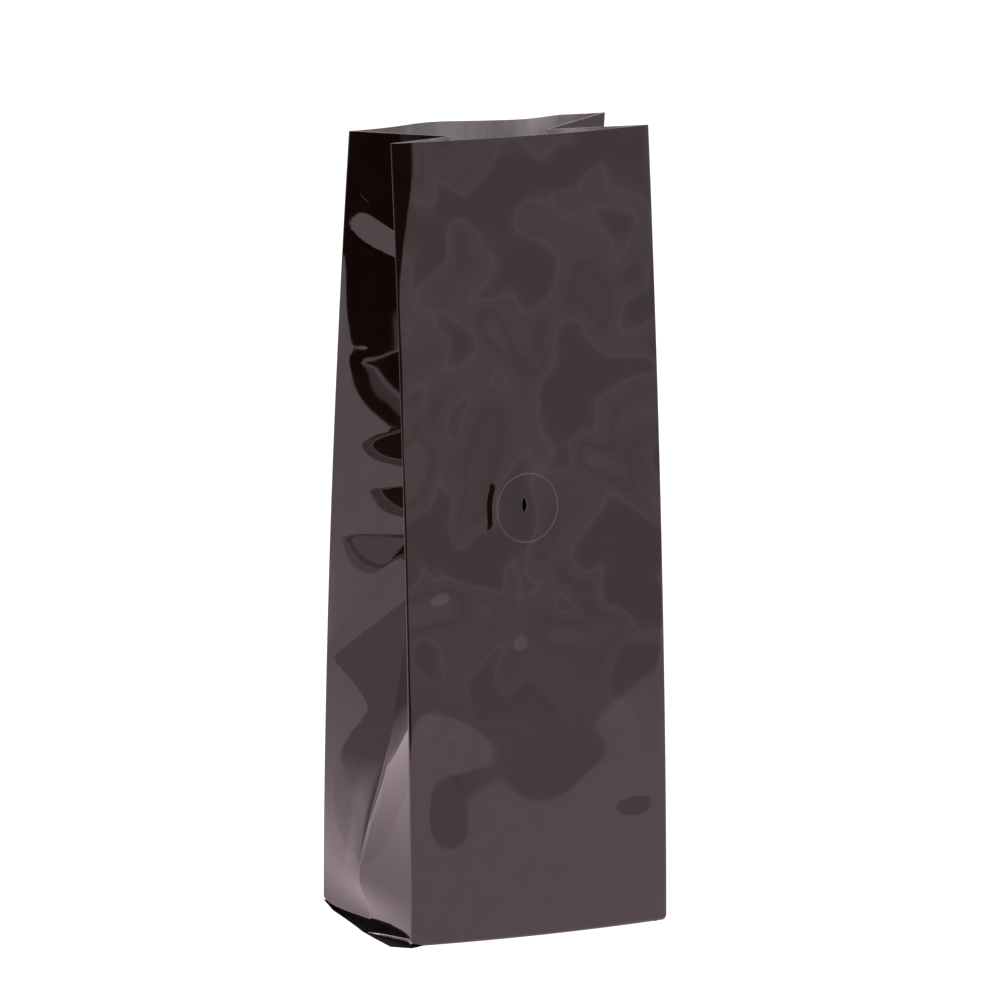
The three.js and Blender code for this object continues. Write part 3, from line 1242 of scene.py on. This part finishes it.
@dataclass
class FootEars:
    """The flat corner ears of the sealed foot, which lie askew towards the left."""

    thickness: float = 0.3
    sheets: tuple[EarSheet, ...] = ()

    def build(self, finishes: list[Material]) -> list[Piece]:
        """Make the ears, with the materials of the outside, the inside and the cut edge."""
        return [self.make_sheet(sheet, finishes) for sheet in self.sheets]

    def make_sheet(self, sheet: EarSheet, finishes: list[Material]) -> Piece:
        """Make one layer of film.

        Args:
            sheet: Its edges and the side of the film that shows.
            finishes: Materials of the outside, the inside and the cut edge.

        Returns:
            The finished piece, at the origin.
        """
        count = len(sheet.outer)
        bpy.ops.mesh.primitive_grid_add(x_subdivisions=count - 1, y_subdivisions=1, size=2.0)
        piece = bpy.context.object
        piece.name = piece.data.name = sheet.name
        flat = read_points(piece)
        column = grid_line(flat[:, 0], count)
        outer, inner = np.array(sheet.outer)[column], np.array(sheet.inner)[column]
        write_points(piece, np.where(flat[:, 1:2] < 0, outer, inner) * MM)
        for finish in finishes:
            piece.data.materials.append(finish)
        for face in piece.data.polygons:
            face.material_index = sheet.face.value
        select_only(piece)
        bpy.ops.object.mode_set(mode="EDIT")
        bpy.ops.mesh.select_all(action="SELECT")
        bpy.ops.mesh.subdivide(number_cuts=3)
        bpy.ops.object.mode_set(mode="OBJECT")
        apply_modifier(piece, "film thickness", "SOLIDIFY", thickness=self.thickness * MM, offset=0.0,
                       material_offset=0, material_offset_rim=sheet.face.value)
        shade_smooth(piece)
        return piece


@dataclass(frozen=True)
class TableTop:
    """A level surface of the studio, lit evenly: its edges from the bag, its light and its turn."""

    name: str
    left: float
    right: float
    front: float
    back: float
    tone: float
    turn_deg: float = 0.0


@dataclass
class Studio:
    """Pale table, light from above and around, and the camera.

    The film mirrors the studio, so the light round the bag changes with the direction: it is dark behind
    the camera, and level surfaces of other tones lie beyond the table. The camera sees all of it as white.
    """

    tables: tuple[TableTop, ...] = (
        TableTop("pale_table", -1.2, 1.2, -0.495, 0.17, 1.05),
        TableTop("table_leaf", -0.28, 0.135, 0.1, 2.5, 0.93, 41.0),
        TableTop("grey_step", -3.0, -0.85, -0.895, -0.496, 0.4),
        TableTop("light_step", -3.0, -0.85, -1.02, -0.896, 0.8),
        TableTop("dim_step", -0.849, -0.72, -0.95, -0.896, 0.5),
    )
    table_turn_deg: float = -21.0
    table_step: float = 0.0002
    white: Colour = (1.2, 1.2, 1.2, 1.0)
    light_tint: tuple[float, float, float] = (1.27, 1.0, 1.08)
    dim_tint: tuple[float, float, float] = (2.0, 1.0, 0.6)
    dim_below: float = 0.1
    overhead: float = 2.1
    overhead_rise: Range = (0.55, 0.75)
    around: tuple[Range, ...] = (
        (-180, 0.57), (-162, 0.68), (-155, 0.9), (-148, 1.1), (-141, 0.95), (-128, 0.55), (-115, 0.62),
        (-91, 0.72), (-89.5, 0.04), (-78, 0.03), (-66, 0.012), (8, 0.012), (11, 0.72), (35, 0.7),
        (60, 0.65), (120, 0.55), (150, 0.3), (166, 0.35), (180, 0.57))
    camera_place: tuple[float, float, float] = (-1.7890, -3.5872, 0.8759)
    camera_yaw_deg: float = -26.533
    camera_pitch_deg: float = -10.290
    lens: float = 419.9
    sensor: float = 36.0
    clip_end: float = 50.0

    def build(self) -> None:
        """Make the table, the surrounding light and the camera."""
        for place, table in enumerate(self.tables):
            self.make_table(table, -place * self.table_step)
        self.make_world()
        self.make_camera()
        view = bpy.context.scene.view_settings
        view.view_transform = "Standard"
        view.look = "None"

    def make_table(self, table: TableTop, level: float) -> None:
        """Make a level surface, blown out to white where the camera sees it.

        Args:
            table: Its sizes, tone and turn.
            level: Its height.
        """
        bpy.ops.mesh.primitive_plane_add(size=1.0)
        piece = bpy.context.object
        piece.name = piece.data.name = table.name
        piece.scale = (table.right - table.left, table.back - table.front, 1.0)
        piece.location = ((table.right + table.left) / 2, (table.back + table.front) / 2, level)
        bpy.ops.object.transform_apply(location=True, scale=True)
        piece.rotation_euler = (0.0, 0.0, math.radians(self.table_turn_deg + table.turn_deg))
        bpy.ops.object.transform_apply(rotation=True)
        material, tree = new_material(f"{table.name}_top")
        shader = add_node(tree, "ShaderNodeEmission", {
            "Color": self.white_to_camera(tree, self.tinted(table.tone))})
        add_node(tree, "ShaderNodeOutputMaterial", {"Surface": shader.outputs["Emission"]})
        piece.data.materials.append(material)

    def make_world(self) -> None:
        """Make the white backdrop that the camera sees, and the studio's light for everything else."""
        world = bpy.data.worlds.new("studio_light")
        bpy.context.scene.world = world
        world.use_nodes = True
        tree = world.node_tree
        tree.nodes.clear()
        way = add_node(tree, "ShaderNodeTexCoord").outputs["Generated"]
        front_way = calculate(tree, "MULTIPLY", separate(tree, way, "Y"), -1.0)
        azimuth = calculate(tree, "ARCTAN2", separate(tree, way, "X"), front_way)
        ramp = add_node(tree, "ShaderNodeValToRGB", {"Fac": rescale(tree, azimuth, (-math.pi, math.pi))})
        set_stops(ramp.color_ramp, [((turn + 180) / 360, self.tinted(light)) for turn, light in self.around])
        above = rescale(tree, separate(tree, way, "Z"), self.overhead_rise)
        light = blend(tree, above, ramp.outputs["Color"], self.tinted(self.overhead))
        background = add_node(tree, "ShaderNodeBackground", {
            "Color": self.white_to_camera(tree, light), "Strength": 1.0})
        add_node(tree, "ShaderNodeOutputWorld", {"Surface": background.outputs["Background"]})

    def white_to_camera(self, tree: Tree, light: Colour | Socket) -> Socket:
        """White where the camera looks straight at it, and a light's own colour for everything else."""
        camera_ray = add_node(tree, "ShaderNodeLightPath").outputs["Is Camera Ray"]
        return blend(tree, camera_ray, light, self.white)

    def tinted(self, light: float) -> Colour:
        """Give the studio's light its slightly warm colour, browner where the room is dim.

        Args:
            light: Its strength.

        Returns:
            Linear red, green and blue with full alpha.
        """
        tint = self.dim_tint if light < self.dim_below else self.light_tint
        red, green, blue = (light * part for part in tint)
        return (red, green, blue, 1.0)

    def make_camera(self) -> None:
        """Make the camera at the photograph's place, level, looking a little down."""
        data = bpy.data.cameras.new("camera")
        data.lens = self.lens
        data.sensor_width = self.sensor
        data.clip_end = self.clip_end
        camera = bpy.data.objects.new("camera", data)
        bpy.context.collection.objects.link(camera)
        yaw, pitch = math.radians(self.camera_yaw_deg), math.radians(self.camera_pitch_deg)
        look = Vector((-math.sin(yaw) * math.cos(pitch), math.cos(yaw) * math.cos(pitch), math.sin(pitch)))
        camera.location = self.camera_place
        camera.rotation_euler = look.to_track_quat("-Z", "Y").to_euler()
        bpy.context.scene.camera = camera


RELIEFS: tuple[PanelRelief, ...] = (
    PanelRelief(0, 100, 8, 8, (
        Dent(11, 60, 12, 23, 9, 1.5), Dent(87, 47, 9, 6, 6, 0.75), Dent(54, 72, 19, 15, 60, 0.7),
        Dent(25, 107, 9, 18, 22, 0.4), Dent(45, 99, 5, 4, 6, 0.24), Dent(13, 117, 8, 3, 6, 0.32),
        Ripple(7, 0.022, (40, 80), (90, 160)), Ripple(8, 0.006, (16, 40)),
        Ripple(9, 0.012, (18, 36), (150, 230)))),
    PanelRelief(100, 135, 4, 5, (Ripple(6, 0.012, (20, 50)),)),
    PanelRelief(135, 170, 5, 4, (
        Scallop(171, 158, (258, 0.35), (232, 0.35), 1.8), Scallop(166, 150, (205, -0.1), (177, -0.1), 0.6),
        Scallop(163, 145, (178, -0.2), (159, -0.2), 0.8), Scallop(172, 165, (141, 0), (105, 0), 0.9),
        Scallop(160, 146, (74, -0.3), (36, -0.3), 0.6))),
    PanelRelief(170, 270, 10, 10, (Ripple(11, 0.014, (25, 70)),)),
    PanelRelief(270, 311, 2.5, 6, (
        Scallop(268, 284, (270, -0.4), (246.5, -0.5), 2.0),
        Scallop(272, 290, (198, 0.14), (168.2, 0.2), 0.38),
        Scallop(277, 296, (169.2, 0.2), (152.8, 0.11), 0.8),
        Scallop(278, 308, (153, 0.11), (136, 0.07), 0.6),
        Scallop(260, 285, (134.8, 0.07), (83.2, 0.78), 1.1),
        Gore((268.0, 91.5), (302.5, 116.4), (302.7, 71.0), 0.115, 0.3, 0.62),
        Scallop(290, 300, (53, 0.38), (16, 0.38), 0.4), Dent(280, 200.5, 4, 2.5, 2.5, 0.15),
        Dent(273, 219, 3.2, 20, 20, -0.95), Ripple(5, 0.003, (20, 50)))),
    PanelRelief(305, 340, 0.6, 0.6, (Cushion(306.5, 312.5, 340, 70, 30, 22, 1.6),)),
)

EARS: tuple[EarSheet, ...] = (
    EarSheet("front_left_ear",
             ((-50.3, -36.6, 0.2), (-55.9, -31, 0.2), (-54.9, -16, 0.2), (-53.8, -4, 0.2), (-53, 0, 0.2)),
             ((-44, -34.2, 0.2), (-40, -24.5, 0.2), (-40, -16, 0.2), (-40, -2, 0.2), (-40, 1, 0.2))),
    EarSheet("back_left_ear",
             ((-54, -5, 0.4), (-52.4, 4.5, 0.4), (-50.3, 18, 0.5), (-50.2, 26.5, 1.3), (-50.1, 34.2, 3.6)),
             ((-40, -5, 0.3), (-40, 4.5, 0.3), (-40, 18, 0.3), (-42, 26, 0.8), (-44, 31, 2.0))),
    EarSheet("front_left_flap",
             ((-53.2, -9, 0.4), (-53, -14.8, 1.05), (-52.3, -20.6, 1.45),
              (-50.2, -32.6, 1.9), (-50.1, -35.2, 1.2)),
             ((-53.3, -8, 0.5), (-53, -14.4, 1.4), (-52.6, -20, 1.9),
              (-50.2, -33.6, 2.8), (-50.1, -36.2, 1.7)),
             FilmSide.INSIDE),
    EarSheet("front_right_ear",
             ((46, -35, 0.2), (47.4, -31, 0.2), (47.1, -16, 0.2), (46.8, -2, 0.2), (46.8, 1, 0.2)),
             ((44, -34.2, 0.2), (40, -24.5, 0.2), (40, -16, 0.2), (40, -2, 0.2), (40, 1, 0.2))),
    EarSheet("back_right_ear",
             ((46.8, -5, 0.5), (47.5, 12, 1.9), (48.6, 30, 3.2), (49, 33, 3.6)),
             ((40, -5, 0.3), (40, 12, 0.6), (40, 25.2, 1.2), (44, 31, 2.0))),
)


def settle(piece: Piece, slot: str, *nodes: str) -> None:
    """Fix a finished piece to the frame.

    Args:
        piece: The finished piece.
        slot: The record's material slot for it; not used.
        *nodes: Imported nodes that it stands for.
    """
    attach(piece, BODY)
    if nodes:
        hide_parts(*nodes)
    LOG.info("%s: %d vertices, %d faces", piece.name, len(piece.data.vertices), len(piece.data.polygons))


def main() -> None:
    """Build the bag and its studio."""
    logging.basicConfig(level=logging.INFO, format="%(name)s %(message)s")
    finishes = [GlossFilm().material(), SilverLining().material(), CUT_FILM_EDGE.material()]
    film = FilmBag(reliefs=RELIEFS)
    settle(film.build(finishes), "bag_film", "bag_film")
    # The ears' finish is partly painted shade: dark and dull, for the shade round the foot
    for ear in FootEars(sheets=EARS).build([SEALED_FILM_AND_SHADE.material(), *finishes[1:]]):
        settle(ear, "bag_film", "bag_film")
    valve = ValveDisc().build(film.seat, film.shape, VALVE_PLASTIC.material())
    settle(valve, "valve", "valve")
    Studio().build()


if __name__ == "__main__":
    main()
